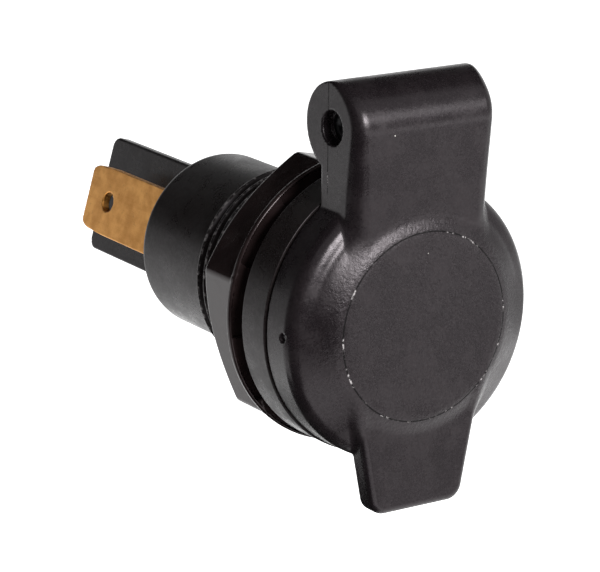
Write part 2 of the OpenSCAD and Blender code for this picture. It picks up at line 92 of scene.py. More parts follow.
def corner(a, b, cosine, r):
    """What two flat-sided forms share, rounded to a true radius; cosine is that of the angle
    between their outward directions."""
    a = a + r
    b = b + r
    along_a = (a - cosine * b) / (1 - cosine ** 2)
    along_b = (b - cosine * a) / (1 - cosine ** 2)
    reach = np.sqrt(np.maximum(along_a ** 2 + along_b ** 2 + 2 * cosine * along_a * along_b, 0))
    return np.where((along_a > 0) & (along_b > 0), reach, np.maximum(a, b)) - r


def beyond(a, b, point, way):
    """Distance past a point in a direction, both given by two coordinates."""
    return (a - point[0]) * way[0] + (b - point[1]) * way[1]


def past(a, b, start, end):
    """Distance outside the line of an outline that runs from start to end."""
    run = (end[0] - start[0], end[1] - start[1])
    return ((a - start[0]) * run[1] - (b - start[1]) * run[0]) / math.hypot(*run)


def ease(x, start, end):
    """Smooth step from 0 at start to 1 at end."""
    t = np.clip((x - start) / (end - start), 0, 1)
    return t * t * (3 - 2 * t)


# Mesh of a form given by its signed distance

GRID_SLAB = 12
SETTLING_STEPS = 3
LEAST_SLOPE = 1e-6
LEAST_LENGTH = 1e-9


def slope(field, points, reach=0.01):
    """How fast the distance grows along x, y and z, at each point."""
    growth = np.empty_like(points)
    for axis in range(3):
        step = np.zeros(3)
        step[axis] = reach
        ahead, behind = points + step, points - step
        growth[:, axis] = (field(*ahead.T) - field(*behind.T)) / (2 * reach)
    return growth


def sampled(field, painted_light, count):
    """The distance at every grid point, worked out a few layers at a time."""
    value = np.empty(count, np.float32)
    for start in range(0, count[0], GRID_SLAB):
        grid = np.meshgrid(painted_light[0][start:start + GRID_SLAB], painted_light[1], painted_light[2], indexing="ij")
        value[start:start + GRID_SLAB] = field(*grid)
    return value


def net(field, low, high, step):
    """Points, quads and directions of the surface where the field is zero, inside a box.
    Each grid cell that the surface crosses gets one point, and each crossed grid edge a quad."""
    low = np.array(low, float)
    count = [int(math.ceil((high[k] - low[k]) / step)) + 1 for k in range(3)]
    value = sampled(field, [low[k] + step * np.arange(count[k]) for k in range(3)], count)
    inside = value < 0
    cells = [c - 1 for c in count]
    total = np.zeros(cells + [3], np.float32)
    hits = np.zeros(cells, np.float32)
    crossings = []
    for d in range(3):
        e, f = (d + 1) % 3, (d + 2) % 3
        first = [slice(None)] * 3
        second = [slice(None)] * 3
        first[d], second[d] = slice(0, -1), slice(1, None)
        starts_inside = inside[tuple(first)]
        where = np.argwhere(starts_inside != inside[tuple(second)])
        ahead = where.copy()
        ahead[:, d] += 1
        value_here, value_ahead = value[tuple(where.T)], value[tuple(ahead.T)]
        point = where.astype(np.float32)
        point[:, d] += value_here / (value_here - value_ahead)
        around = []
        for de, df in ((0, 0), (1, 0), (1, 1), (0, 1)):
            cell = where.copy()
            cell[:, e] -= de
            cell[:, f] -= df
            around.append(cell)
            key = tuple(cell.T)
            np.add.at(total, key, point)
            np.add.at(hits, key, 1)
        crossings.append((around, starts_inside[tuple(where.T)]))
    used = hits > 0
    number = np.full(cells, -1, np.int64)
    number[used] = np.arange(int(used.sum()))
    points = low + step * (total[used] / hits[used][:, None]).astype(float)
    quads = []
    for around, outward in crossings:
        ids = np.stack([number[tuple(c.T)] for c in around], 1)
        ids[~outward] = ids[~outward][:, ::-1]
        quads.append(ids)
    points, directions = settled(field, points, step)
    return points, np.concatenate(quads), directions


def settled(field, points, step):
    """The points moved onto the surface, and its outward direction at each."""
    for _ in range(SETTLING_STEPS):
        growth = slope(field, points)
        size = np.maximum((growth ** 2).sum(1), LEAST_SLOPE)
        move = -(field(*points.T) / size)[:, None] * growth
        points += np.clip(move, -step / 2, step / 2)
    outward = slope(field, points)
    outward /= np.maximum(np.linalg.norm(outward, axis=1), LEAST_LENGTH)[:, None]
    return points, outward


def mesh_object(name, points, faces, directions=None):
    """A Blender object from points in millimetres; faces are an array of quads, or a list."""
    mesh = bpy.data.meshes.new(name)
    if isinstance(faces, np.ndarray):
        mesh.vertices.add(len(points))
        mesh.vertices.foreach_set("co", (np.asarray(points) * MM).astype(np.float32).ravel())
        corners = faces.shape[1]
        mesh.loops.add(faces.size)
        mesh.loops.foreach_set("vertex_index", faces.astype(np.int32).ravel())
        mesh.polygons.add(len(faces))
        mesh.polygons.foreach_set("loop_start", np.arange(0, faces.size, corners, dtype=np.int32))
        mesh.update(calc_edges=True)
    else:
        mesh.from_pydata([tuple(v * MM for v in p) for p in points], [], faces)
    mesh.validate()
    mesh.shade_smooth()
    if directions is not None:
        mesh.normals_split_custom_set_from_vertices(directions.tolist())
    obj = bpy.data.objects.new(name, mesh)
    scene.collection.objects.link(obj)
    return obj


def form_object(name, field, low, high, step):
    """A Blender object from a signed distance, looked for between two corners of a box."""
    points, quads, directions = net(field, low, high, step)
    return mesh_object(name, points, quads, directions)


def dress(obj, body, slot_name, material, *stands_for):
    """Puts the piece on its body, gives it its finish and lets it stand for its CAD nodes."""
    obj.data.materials.clear()
    obj.data.materials.append(material)
    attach(obj, body)
    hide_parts(*stands_for)


# Sizes that more than one form uses, in millimetres, as in the CAD model. The lid's face is
# drawn 0.04 mm behind the CAD model's, so that the visible lid stays inside its box.

HINGE_Y, HINGE_Z = -5.25, 16.9
PIN_R, PIN_HALF = 1.2, 6.0
FLANGE_R, FLANGE_FRONT = 12.25, -3.5
LID_R, LID_REAR = 12.1, -3.7
FACE_R, FACE_Y = 8.2, -9.06
SHOULDER = math.radians(28)
BARREL_END = 23.3
CARRIER_FRONT = 12.65
SLEEVE_FRONT, SLEEVE_REAR = -2.9, 12.45
CONTACT_BASE = 18.0


# Lid: cap, arm with ears, knuckle and finger tab as one moulded form. The knuckle and the tab's
# end also stay a hair inside the CAD model's. A pair of places is the stretch over which a
# change sets in.

RIM_ROUND, FACE_ROUND, REAR_ROUND = 1.5, 3.0, 0.06
SINK_R, SINK_WIDTH, SINK_DEPTH = 10.65, 0.36, 0.06
SINK_Z = (1.0, 6.0)
ARM_HALF, EAR_IN = 6.95, 4.65
HOOD_R, HOOD_R_IN = 3.81, 2.65
ARM_LEAN = math.radians(3.4)
ARM_EDGE, ARM_EDGE_MORE, SHARP_EDGE = 1.1, 0.55, 0.16
WIDENS_Z, SHARPENS_Y = (20.0, 9.0), (-7.9, -4.6)
TAB_END, TAB_TIP_HALF, TAB_FLARE = -16.0, 4.45, 0.775 / 3.95
TAB_FRONT, TAB_REAR = FACE_Y + 0.43, FACE_Y + 2.4
TAB_CORNER, TAB_FRONT_EDGE, TAB_REAR_EDGE = 1.5, 0.62, 0.2
LID_WALL, INNER_FACE_LESS = 1.5, 0.3
SEAL_R, SEAL_HALF, SEAL_Y = 7.8, 0.6, -3.78
SPACE_LIP = math.radians(68)
PIN_HOLE_R, PIN_MOUTH_R = 1.21, 1.45
VALLEY_FROM_MIDDLE = (1.0, 5.0)
GATE, GATE_R = (-12.22, -6.07, 0.17), 0.42


def lid_cap(x, y, z):
    """Round cap: a flat face, a sloping shoulder and the rim."""
    r = np.hypot(x, z)
    rim = r - LID_R
    shoulder = beyond(r, y, (FACE_R, FACE_Y), (math.sin(SHOULDER), -math.cos(SHOULDER)))
    # Shallow sink over the thick root of the wall, on the arm's half of the cap
    shoulder = shoulder + SINK_DEPTH * np.exp(-((r - SINK_R) / SINK_WIDTH) ** 2) * ease(z, *SINK_Z)
    side = corner(rim, shoulder, math.sin(SHOULDER), RIM_ROUND)
    front = corner(side, FACE_Y - y, math.cos(SHOULDER), FACE_ROUND)
    return meet(front, y - LID_REAR, REAR_ROUND)


def lid_arm(x, y, z):
    """Arm with its knuckle. Its front leans back toward the cap, and its edges are tighter over
    the knuckle and almost sharp toward the rear."""
    dy, dz = y - HINGE_Y, z - HINGE_Z
    circle = np.hypot(dy, dz) - HOOD_R
    over_top = dz * math.cos(ARM_LEAN) - dy * math.sin(ARM_LEAN) > 0
    plane = -dy * math.cos(ARM_LEAN) - dz * math.sin(ARM_LEAN) - HOOD_R
    far_inside = -5.0
    front = np.where(over_top, circle, plane)
    rear = np.where(over_top, far_inside, np.minimum(y - LID_REAR, circle))
    side = np.abs(x) - ARM_HALF
    edge = ARM_EDGE + ARM_EDGE_MORE * ease(z, *WIDENS_Z)
    edge = edge + (SHARP_EDGE - edge) * ease(y, *SHARPENS_Y)
    body = meet(front, meet(side, rear, SHARP_EDGE), edge)
    return np.maximum(body, -z)


def lid_tab(x, y, z):
    """Finger tab below the cap, which narrows toward its end."""
    lean = math.atan(TAB_FLARE)
    side = beyond(np.abs(x), z, (TAB_TIP_HALF, TAB_END), (math.cos(lean), -math.sin(lean)))
    outline = corner(side, TAB_END - z, math.sin(lean), TAB_CORNER)
    body = meet(meet(outline, TAB_FRONT - y, TAB_FRONT_EDGE), y - TAB_REAR, TAB_REAR_EDGE)
    return np.maximum(body, z)


def lid_inside(x, y, z):
    """The room under the cap, less the ring that closes round the socket's mouth."""
    r = np.hypot(x, z)
    shoulder = ((r - FACE_R + INNER_FACE_LESS) * math.sin(SHOULDER)
                - (y - FACE_Y - LID_WALL) * math.cos(SHOULDER))
    space = meet(meet(r - (LID_R - LID_WALL), shoulder, r=0.5), FACE_Y + LID_WALL - y, r=0.5)
    ring = meet(np.abs(r - SEAL_R) - SEAL_HALF, y - SEAL_Y, r=0.25)
    return cut(space, ring, r=0.2)


def knuckle_space(x, y, z):
    """The room between the ears, for the lugs and the spring."""
    dy, dz = y - HINGE_Y, z - HINGE_Z
    top = np.where(dy < 0, dz, dz * math.cos(SPACE_LIP) - dy * math.sin(SPACE_LIP))
    below = meet(meet(-HOOD_R_IN - dy, (FLANGE_R - 0.15) - z, r=0.4), top)
    return meet(np.minimum(np.hypot(dy, dz) - HOOD_R_IN, below), np.abs(x) - EAR_IN, r=0.3)


def valley(x, y, tight, more, across, toward_face):
    """Radius of the valley beside the arm or tab: tight at the rim and wider at the front."""
    return tight + more * ease(np.abs(x), *across) * ease(y, *toward_face)


def lid_field(x, y, z):
    """The whole lid, with its rooms, the pin's hole and the gate's mark cut out."""
    arm_valley = valley(x, y, 0.22, 0.5, across=(4.5, 7.5), toward_face=(-6.4, -8.4))
    tab_valley = valley(x, y, 0.25, 0.6, across=(4.5, 6.5), toward_face=(-6.8, -8.4))
    form = join(lid_cap(x, y, z), lid_arm(x, y, z), arm_valley * ease(z, *VALLEY_FROM_MIDDLE))
    form = join(form, lid_tab(x, y, z), tab_valley * ease(-z, *VALLEY_FROM_MIDDLE))
    form = np.maximum(form, FACE_Y - y)
    form = cut(form, lid_inside(x, y, z), r=0.15)
    form = cut(form, knuckle_space(x, y, z), r=0.15)
    # The pin's hole widens outside the pin's ends
    from_axis = np.hypot(y - HINGE_Y, z - HINGE_Z)
    form = cut(form, from_axis - PIN_HOLE_R)
    form = cut(form, meet(from_axis - PIN_MOUTH_R, PIN_HALF - np.abs(x), r=0.05), r=0.14)
    # Mark of the mould's gate on the rim
    gate = np.sqrt((x - GATE[0]) ** 2 + (y - GATE[1]) ** 2 + (z - GATE[2]) ** 2) - GATE_R
    return cut(form, gate, r=0.06)


# Panel nut: a hexagon with a round collar toward the panel and a bevel at the rear

NUT_FRONT, NUT_REAR = 1.2, 7.1
NUT_TURN = math.radians(14.8)
NUT_FLAT = 11
NUT_ROUND = 0.12
COLLAR_R, COLLAR_HALF = 12.6, 0.3
BEVEL, BEVEL_R = math.radians(40), 10.9
NUT_BORE_R, NUT_MOUTH_R = 9.0, 9.5
DIAGONAL = 0.7071
TEETH = 12
TOOTH_TURN = math.radians(11)
TOOTH_HALF, TOOTH_DEPTH, TOOTH_CREST, TOOTH_ROUND = 2.56, 0.45, 0.05, 0.04
TEETH_R, TEETH_REACH = 11.27, 1.07


def nut_hexagon(x, z):
    """Three pairs of flats, whose outward directions are 60 degrees apart."""
    turns = [NUT_TURN + k * math.pi / 3 for k in range(3)]
    flats = [np.abs(x * math.cos(t) + z * math.sin(t)) - NUT_FLAT for t in turns]
    cosine = 0.5
    return corner(corner(flats[0], flats[1], cosine, r=0.3), flats[2], cosine, r=0.3)


def nut_teeth(x, y, z):
    """What the saw teeth leave out of the front: each falls from its crest along a flat ramp."""
    r = np.hypot(x, z)
    step = 2 * math.pi / TEETH
    turn = np.arctan2(z, x) - NUT_TURN - TOOTH_TURN
    away = r * np.sin(turn - step * np.round(turn / step))
    ramp = y - NUT_FRONT + TOOTH_CREST - TOOTH_DEPTH * (away + TOOTH_HALF) / (2 * TOOTH_HALF)
    tooth = meet(ramp, np.abs(away) - TOOTH_HALF, TOOTH_ROUND)
    return meet(tooth, np.abs(r - TEETH_R) - TEETH_REACH, TOOTH_ROUND)


def nut_field(x, y, z):
    """Hexagon and collar, less what the teeth and the bore leave out."""
    r = np.hypot(x, z)
    cone = beyond(r, y, (BEVEL_R, NUT_REAR), (math.sin(BEVEL), math.cos(BEVEL)))
    body = meet(meet(nut_hexagon(x, z), r - COLLAR_R, NUT_ROUND), y - NUT_REAR)
    body = meet(meet(body, cone, NUT_ROUND), NUT_FRONT - y, NUT_ROUND)
    collar = meet(r - COLLAR_R, np.abs(y - NUT_FRONT - COLLAR_HALF) - COLLAR_HALF, r=0.2)
    form = cut(join(body, collar, r=0.1), nut_teeth(x, y, z), r=0.06)
    mouth = (r - NUT_MOUTH_R + np.minimum(y - NUT_FRONT, NUT_REAR - y)) * DIAGONAL
    return cut(form, np.minimum(r - NUT_BORE_R, mouth), r=0.08)


# Terminals, contact and carrier; n runs across the blades and u along their width

BLADES_TURN = math.radians(15.9)
BLADE_N, BLADE_HALF, BLADE_WIDE_HALF = 3.9, 0.4, 3.15
BLADE_END, BLADE_ROUND = BARREL_END + 16.4, 0.09
BLADE_CUT_Y, BLADE_CUT_U = 2.0, 0.65
BLADE_BOW_Y, BLADE_BOW_U = 0.56, 0.195
BLADE_HOLE_BACK, BLADE_HOLE_R = 3.7, 0.9
NEAR_FOOT_R, FAR_FOOT_HALF, FAR_HOLE_R = 6.5, 2.2, 1.22
TUBE_R, TUBE_BORE_R, TUBE_FRONT, TUBE_FLOOR = 2.6, 2.0, 12.3, 0.6
SLOT_HALF, SLOT_LENGTH = 0.25, 4.4
TAIL_R, TAIL_HALF = 1.2, 0.5
RIVET_R, RIVET_BACK, RIVET_HALF = 1.9, 1.1, 0.3
CARRIER_R, CARRIER_REAR = 6.85, 22.6
NOSE_R, NOSE_FRONT, NOSE_REAR = 4.1, 12.0, 13.0
PLATE_FRONT, PLATE_END = 22.0, BARREL_END + 20.0
PLATE_HALF, PLATE_WIDE_HALF = 0.6, 5.45
CONTACT_HOLE_R = 2.8
FIT = 0.03


def across(x, z):
    """The place as n and u."""
    turn_cos, turn_sin = math.cos(BLADES_TURN), math.sin(BLADES_TURN)
    return x * turn_cos - z * turn_sin, x * turn_sin + z * turn_cos


def blade_outline(u, y, front):
    """A flat terminal with bowed cut corners and a hole near its end."""
    width = np.abs(u)
    bow = (BLADE_WIDE_HALF - BLADE_BOW_U, BLADE_END - BLADE_BOW_Y)
    first = past(width, y, (BLADE_WIDE_HALF, BLADE_END - BLADE_CUT_Y), bow)
    second = past(width, y, bow, (BLADE_WIDE_HALF - BLADE_CUT_U, BLADE_END))
    sides = meet(width - BLADE_WIDE_HALF, front - y, r=0.1)
    tip = meet(meet(first, second, r=0.3), y - BLADE_END, r=0.2)
    hole = np.hypot(u, y - BLADE_END + BLADE_HOLE_BACK) - BLADE_HOLE_R
    return cut(meet(sides, tip, r=0.3), hole)


def blade_and_foot(n, u, y, front, foot, within):
    """A blade and its foot, which is what the last two forms share; n is from the blade's middle."""
    blade = meet(np.abs(n) - BLADE_HALF, blade_outline(u, y, front), BLADE_ROUND)
    return join(blade, meet(foot, within, BLADE_ROUND), r=0.1)


def foot_slab(y, front):
    """A plate as thick as the blades, square to the barrel."""
    return np.abs(y - front - BLADE_HALF) - BLADE_HALF


def negative_field(x, y, z):
    """Near terminal, whose foot lies behind the sleeve's rim."""
    n, u = across(x, z)
    foot = np.maximum(foot_slab(y, SLEEVE_REAR), np.hypot(x, z) - NEAR_FOOT_R)
    within = np.maximum(n + (BLADE_N - BLADE_HALF), np.abs(u) - BLADE_WIDE_HALF)
    return blade_and_foot(n + BLADE_N, u, y, SLEEVE_REAR, foot, within)


def positive_field(x, y, z):
    """Far terminal, whose foot reaches in behind the centre contact."""
    n, u = across(x, z)
    bar = np.maximum(np.maximum(-n, n - BLADE_N), np.abs(u) - FAR_FOOT_HALF)
    foot = np.minimum(bar, np.hypot(n, u) - FAR_FOOT_HALF)
    form = blade_and_foot(n - BLADE_N, u, y, CONTACT_BASE, foot, foot_slab(y, CONTACT_BASE))
    return cut(form, np.hypot(x, z) - FAR_HOLE_R)


def contact_field(x, y, z):
    """Split tube with a riveted tail."""
    r = np.hypot(x, z)
    tube = meet(r - TUBE_R, np.maximum(TUBE_FRONT - y, y - CONTACT_BASE), r=0.12)
    tube = cut(tube, np.maximum(r - TUBE_BORE_R, y - CONTACT_BASE + TUBE_FLOOR), r=0.1)
    slot = np.minimum(np.abs(x - z), np.abs(x + z)) * DIAGONAL - SLOT_HALF
    tube = cut(tube, np.maximum(slot, y - TUBE_FRONT - SLOT_LENGTH), r=0.06)
    tail = np.maximum(r - TAIL_R, np.abs(y - CONTACT_BASE - BLADE_HALF) - TAIL_HALF)
    head = meet(r - RIVET_R, np.abs(y - CONTACT_BASE - RIVET_BACK) - RIVET_HALF, r=0.2)
    return np.minimum(tube, np.minimum(tail, head))


def carrier_field(x, y, z):
    """Insulator with the plate between the terminals."""
    r = np.hypot(x, z)
    n, u = across(x, z)
    body = meet(r - CARRIER_R, np.maximum(CARRIER_FRONT - y, y - CARRIER_REAR), r=0.15)
    nose = meet(r - NOSE_R, np.maximum(NOSE_FRONT - y, y - NOSE_REAR), r=0.12)
    outline = meet(np.abs(u) - PLATE_WIDE_HALF, y - PLATE_END, r=1.0)
    plate = meet(np.maximum(outline, PLATE_FRONT - y), np.abs(n) - PLATE_HALF, r=0.16)
    form = join(join(body, nose, r=0.05), plate, r=0.2)
    form = cut(form, np.maximum(r - CONTACT_HOLE_R, y - CONTACT_BASE), r=0.1)
    for blade in (negative_field, positive_field):
        form = cut(form, blade(x, y, z) - FIT, r=0.05)
    rivet = meet(r - (RIVET_R + FIT), np.abs(y - CONTACT_BASE - RIVET_BACK) - (RIVET_HALF + FIT))
    return cut(form, rivet)


# Hinge lugs on the flange; places and directions are y and z

LUG_HEAD_R, LUG_HOLE_R = 2.3, 1.25
LUG_X, LUG_HALF = 3.375, 1.075
LUG_FOOT_Z = 10.4
LUG_FRONT, LUG_FRONT_WAY = (-3.45, 12.3), (-0.6632, -0.7485)
LUG_REAR, LUG_REAR_WAY = (-1.75, 12.2), (0.823, 0.568)


def lug_field(x, y, z):
    """Both lugs: a round head on a stem that runs down to the flange."""
    from_axis = np.hypot(y - HINGE_Y, z - HINGE_Z)
    front = beyond(y, z, LUG_FRONT, LUG_FRONT_WAY)
    rear = beyond(y, z, LUG_REAR, LUG_REAR_WAY)
    # The stem ends where its front line touches the head
    top = beyond(y, z, (HINGE_Y, HINGE_Z), (LUG_FRONT_WAY[1], -LUG_FRONT_WAY[0]))
    stem = np.maximum(meet(front, rear, r=0.3), np.maximum(LUG_FOOT_Z - z, top))
    outline = cut(join(from_axis - LUG_HEAD_R, stem, r=0.5), from_axis - LUG_HOLE_R)
    return meet(outline, np.abs(np.abs(x) - LUG_X) - LUG_HALF, r=0.18)


# Turned forms: an outline of radius against Y, carried round the barrel axis

MOST_OF_SIDE = 0.45
ARC_LEAD = 0.15


def rounded(outline, steps=4):
    """Points of a closed outline; each entry is radius, y and the radius of its corner. An arc
    has a point a little before and after it too, so that the flats beside it are shaded flat."""
    points = []
    count = len(outline)
    for i, (r, y, size) in enumerate(outline):
        here = np.array([r, y])
        if size <= 0:
            points.append(here)
            continue
        back = np.array(outline[i - 1][:2]) - here
        ahead = np.array(outline[(i + 1) % count][:2]) - here
        back_l, ahead_l = np.linalg.norm(back), np.linalg.norm(ahead)
        back, ahead = back / back_l, ahead / ahead_l
        half = math.acos(float(np.clip(back @ ahead, -1, 1))) / 2
        reach = min(size / math.tan(half), MOST_OF_SIDE * back_l, MOST_OF_SIDE * ahead_l)
        radius = reach * math.tan(half)
        middle = here + (back + ahead) / np.linalg.norm(back + ahead) * radius / math.sin(half)
        start, end = here + back * reach, here + ahead * reach
        points.append(start + back * min(reach, ARC_LEAD))
        a0, a1 = start - middle, end - middle
        turn = math.atan2(a0[0] * a1[1] - a0[1] * a1[0], float(a0 @ a1))
        for k in range(steps + 1):
            t = turn * k / steps
            points.append(middle + [a0[0] * math.cos(t) - a0[1] * math.sin(t),
                                    a0[0] * math.sin(t) + a0[1] * math.cos(t)])
        points.append(end + ahead * min(reach, ARC_LEAD))
    return np.array(points)


def revolve(rows, sides):
    """Points and quads of a closed ring; rows holds radius and y, for each row and side."""
    count = len(rows)
    turn = 2 * math.pi * np.arange(sides) / sides
    r, y = rows[..., 0], rows[..., 1]
    points = np.stack([r * np.sin(turn), y, r * np.cos(turn)], -1).reshape(-1, 3)
    i, k = np.meshgrid(np.arange(count), np.arange(sides), indexing="ij")
    i2, k2 = (i + 1) % count, (k + 1) % sides
    quads = np.stack([i * sides + k, i2 * sides + k, i2 * sides + k2, i * sides + k2], -1)
    return points, quads.reshape(-1, 4)


def all_round(outline, sides):
    """The points of an outline, the same on every side."""
    return np.repeat(outline[:, None, :], sides, 1)


def turned(outline, sides):
    """Points and quads of an outline with its corners rounded, carried all round."""
    return revolve(all_round(rounded(outline), sides), sides)


# Socket body: flange, true helical thread, barrel and bore, with the lugs joined on

MOUTH_R, SLEEVE_SEAT_R, CARRIER_SEAT_R, BARREL_R = 6.1, 6.55, 6.9, 8.0
MOUTH_BEVEL_R, MOUTH_REAR = 6.5, -3.1
THREAD_PITCH, THREAD_ROOT, THREAD_DEPTH = 1.0, 8.35, 0.6
THREAD_START, THREAD_END = 0.3, 12.95
THREAD_GROWS, THREAD_FADE = (0.5, 1.5), 0.3
FLANK_FOOT, FLANK_TOP, FLANK_SWELL = 0.39, 0.05, 0.8
ROWS_PER_PITCH = 14
BODY_SIDES = 256
LUG_BOXES_X, LUG_BOX_WIDTH = (-4.7, 2.0), 2.7


def thread_lift(phase):
    """How far the surface stands above the root, as a share of the depth; the crest is at 0.5."""
    away = np.abs(phase - np.floor(phase) - 0.5)
    return ease(away, FLANK_FOOT, FLANK_TOP) ** FLANK_SWELL


def thread_rows(sides):
    """The thread as rows from front to rear, each at one y; it fades in and out at its ends."""
    steps = int(round(ROWS_PER_PITCH * (THREAD_END - THREAD_START) / THREAD_PITCH))
    y = np.linspace(THREAD_START, THREAD_END, steps)
    turn = np.arange(sides) / sides
    strength = ease(y, *THREAD_GROWS) * ease(y, THREAD_END, THREAD_END - THREAD_FADE)
    lift = thread_lift(y[:, None] / THREAD_PITCH - turn[None, :])
    rows = np.empty((steps, sides, 2))
    rows[..., 0] = THREAD_ROOT + THREAD_DEPTH * lift * strength[:, None]
    rows[..., 1] = y[:, None]
    return rows


def body_rows(sides):
    """The flange's outline, the thread, and the barrel's outline back through the bore."""
    mouth = (MOUTH_R, MOUTH_REAR)
    flange = [(*mouth, 0.0), (MOUTH_BEVEL_R, FLANGE_FRONT, 0.05), (FLANGE_R, FLANGE_FRONT, 0.06),
              (FLANGE_R, 0, 0.25), (THREAD_ROOT + 0.02, 0, 0.1), (THREAD_ROOT, 0.6, 0.0)]
    barrel = [(THREAD_ROOT, THREAD_END, 0.0), (BARREL_R, 13.0, 0.08), (BARREL_R, BARREL_END, 0.85),
              (CARRIER_SEAT_R, BARREL_END, 0.1), (CARRIER_SEAT_R, CARRIER_FRONT, 0.08),
              (SLEEVE_SEAT_R, CARRIER_FRONT, 0.08), (SLEEVE_SEAT_R, SLEEVE_FRONT, 0.08),
              (MOUTH_R, SLEEVE_FRONT, 0.06), (*mouth, 0.05)]
    front, rear = rounded(flange)[1:-1], rounded(barrel)[1:]
    return np.concatenate([all_round(front, sides), thread_rows(sides), all_round(rear, sides)])


def unite(base, *others):
    """Joins closed meshes into one and removes the joined ones."""
    for other in others:
        change = base.modifiers.new("union", "BOOLEAN")
        change.operation = "UNION"
        change.solver = "MANIFOLD"
        change.object = other
    depsgraph = bpy.context.evaluated_depsgraph_get()
    result = bpy.data.meshes.new_from_object(base.evaluated_get(depsgraph))
    base.modifiers.clear()
    base.data = result
    for other in others:
        bpy.data.objects.remove(other)
    return base


def make_body():
    """The turned body with its two lugs; each lug is drawn in a box of its own."""
    points, quads = revolve(body_rows(BODY_SIDES), BODY_SIDES)
    body = mesh_object("socket_moulding", points, quads)
    lugs = [form_object("lug", lug_field, (x, -7.8, 10.1), (x + LUG_BOX_WIDTH, -0.4, 19.5), step=0.13)
            for x in LUG_BOXES_X]
    body = unite(body, *lugs)
    body.data.shade_smooth()
    return body


# Hinge pin and sleeve contact; a turned solid starts a hair off its axis

ON_AXIS = 0.001
PIN_SIDES, SLEEVE_SIDES = 64, 192
SLEEVE_R, SLEEVE_BORE_R, SLEEVE_RIM_R, SLEEVE_WALL_END = 6.5, 6.05, 4.4, 12.0


def make_pin():
    """The pin is turned about the barrel's axis, then laid along the hinge's."""
    outline = [(ON_AXIS, -PIN_HALF, 0.0), (ON_AXIS, PIN_HALF, 0.0),
               (PIN_R, PIN_HALF, 0.15), (PIN_R, -PIN_HALF, 0.15)]
    points, quads = turned(outline, PIN_SIDES)
    points = np.stack([points[:, 1], points[:, 0] + HINGE_Y, HINGE_Z - points[:, 2]], 1)
    return mesh_object("hinge_pin_drawn", points, quads[:, ::-1])


def make_sleeve():
    """A turned tube with a rim at its rear."""
    outline = [(SLEEVE_BORE_R, SLEEVE_FRONT, 0.08), (SLEEVE_BORE_R, SLEEVE_WALL_END, 0.2),
               (SLEEVE_RIM_R, SLEEVE_WALL_END, 0.08), (SLEEVE_RIM_R, SLEEVE_REAR, 0.08),
               (SLEEVE_R, SLEEVE_REAR, 0.35), (SLEEVE_R, SLEEVE_FRONT, 0.08)]
    points, quads = turned(outline, SLEEVE_SIDES)
    return mesh_object("sleeve_contact_drawn", points, quads)


# Lid spring: a coil round the hinge's axis, with a leg down to the flange and a short tip

WIRE_R, COIL_R, COIL_PITCH = 0.225, 1.545, 0.6
COIL_FIRST, COIL_LAST = math.radians(4), math.radians(4 + 2262)
COIL_LENGTH = COIL_PITCH * (COIL_LAST - COIL_FIRST) / (2 * math.pi)
COIL_POINTS = 240
TO_KNEE, TIP_LENGTH, LEG_ROUND = 3.1, 1.5, 0.7
FOOT_Y, FOOT_GAP = -1.75, 0.05
# Share of the wire's radius kept, and how far out as a share of it, for each ring of an end
WIRE_CAP = ((0.85, 0.25), (0.5, 0.42), (0.12, 0.48))


def softened(path, radius, steps=6):
    """A line of points with each bend in it turned to a smooth curve."""
    points = [path[0]]
    for before, here, after in zip(path, path[1:], path[2:]):
        back, ahead = before - here, after - here
        back_l, ahead_l = np.linalg.norm(back), np.linalg.norm(ahead)
        reach = min(radius, MOST_OF_SIDE * back_l, MOST_OF_SIDE * ahead_l)
        start, end = here + back / back_l * reach, here + ahead / ahead_l * reach
        for k in range(steps + 1):
            t = k / steps
            points.append((1 - t) ** 2 * start + 2 * t * (1 - t) * here + t ** 2 * end)
    points.append(path[-1])
    return np.array(points)


def tube(name, path, radius, sides=14):
    """A round wire along a line of points, with rounded ends."""
    ahead = np.gradient(path, axis=0)
    ahead /= np.linalg.norm(ahead, axis=1)[:, None]
    aside = (1.0, 0.2, 0.1)
    normal = np.cross(ahead[0], aside)
    turn = 2 * math.pi * np.arange(sides) / sides
    rings = []
    for point, way in zip(path, ahead):
        normal = normal - (normal @ way) * way
        normal /= np.linalg.norm(normal)
        ring = np.outer(np.cos(turn), normal) + np.outer(np.sin(turn), np.cross(way, normal))
        rings.append(point + radius * ring)
    for end, way in ((0, -ahead[0]), (-1, ahead[-1])):
        cap = [path[end] + (rings[end] - path[end]) * share + way * radius * rise
               for share, rise in WIRE_CAP]
        rings = cap[::-1] + rings if end == 0 else rings + cap
    count = len(rings)
    i, k = np.meshgrid(np.arange(count - 1), np.arange(sides), indexing="ij")
    k2 = (k + 1) % sides
    quads = np.stack([i * sides + k, i * sides + k2, (i + 1) * sides + k2, (i + 1) * sides + k], -1)
    faces = quads.reshape(-1, 4).tolist()
    faces.append(list(range(sides))[::-1])
    faces.append([(count - 1) * sides + j for j in range(sides)])
    return mesh_object(name, np.concatenate(rings), faces)


def on_coil(a):
    """The wire's middle where the coil stands at the angle a, measured from y toward z."""
    return np.array([-COIL_LENGTH / 2 + COIL_PITCH * (a - COIL_FIRST) / (2 * math.pi),
                     HINGE_Y + COIL_R * math.cos(a), HINGE_Z + COIL_R * math.sin(a)])


def along_coil(a):
    """The direction in which the coil turns there."""
    return np.array([0, -math.sin(a), math.cos(a)])


